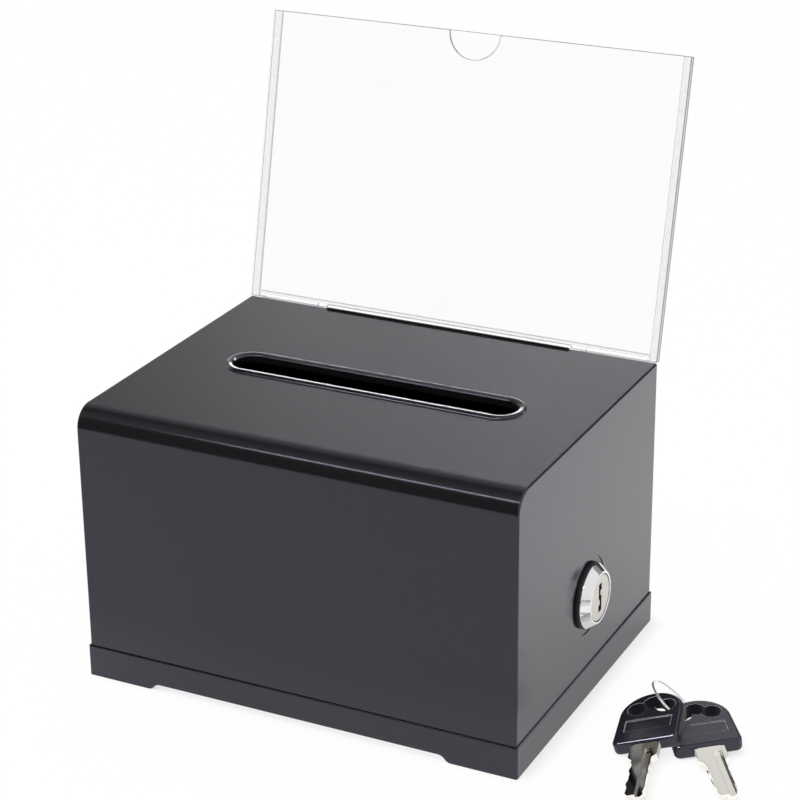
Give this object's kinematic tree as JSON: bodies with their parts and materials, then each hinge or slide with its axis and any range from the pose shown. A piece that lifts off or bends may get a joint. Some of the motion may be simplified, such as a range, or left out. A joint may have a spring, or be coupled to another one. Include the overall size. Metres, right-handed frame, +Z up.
{
  "type": "ballot box",
  "caption": "Black desktop ballot box with a rimmed posting slot, a hook-on base, a cam lock on its right side, a clear leaning sign holder and keys on a ring.",
  "frame": {"origin": "middle of the base's bottom rim, on the plane the box stands on", "axes": "+X to the lock side (right, seen from the front), +Y to the rear, +Z up"},
  "size_m": [0.2269, 0.1445, 0.2005],
  "materials": {
    "black_plastic": "moulded gloss",
    "clear_plastic": "clear, polished",
    "chrome": "polished plating",
    "black_washer": "satin",
    "steel": "zinc plated",
    "nickel": "nickel plated",
    "brass": "stamped",
    "key_plastic": "moulded satin"
  },
  "bodies": {
    "base": {"base_tray": "black_plastic"},
    "cover": {"cover_shell": "black_plastic", "lock_body": "chrome", "lock_spacer": "black_washer", "lock_washer": "steel", "lock_nut": "steel"},
    "lock_rotor": {"lock_plug": "nickel", "lock_wafers": "brass", "cam_plate": "steel", "cam_washer": "steel", "cam_screw": "steel"},
    "sign": {"sign_front_panel": "clear_plastic", "sign_back_panel": "clear_plastic", "sign_left_strip": "clear_plastic", "sign_right_strip": "clear_plastic", "sign_bottom_strip": "clear_plastic"},
    "keys": {"key_1_head": "key_plastic", "key_1_blade": "nickel", "key_2_head": "key_plastic", "key_2_blade": "nickel", "key_ring": "steel"}
  },
  "joints": [
    {"name": "cover_open", "type": "hinge", "parent": "base", "child": "cover", "pos_m": [-0.0794, 0, 0.0116], "axis": [0, -1, 0], "range_deg": [0, 80]},
    {"name": "lock_turn", "type": "hinge", "parent": "cover", "child": "lock_rotor", "pos_m": [0.0794, 0, 0.0379], "axis": [1, 0, 0], "range_deg": [0, 90]},
    {"name": "sign_lift", "type": "slide", "parent": "cover", "child": "sign", "axis": [0, 0.2317, 0.9728], "range_m": [0, 0.012]},
    {"name": "keys_lift", "type": "slide", "parent": "base", "child": "keys", "axis": [0, 0, 1], "range_m": [0, 0.05]}
  ]
}
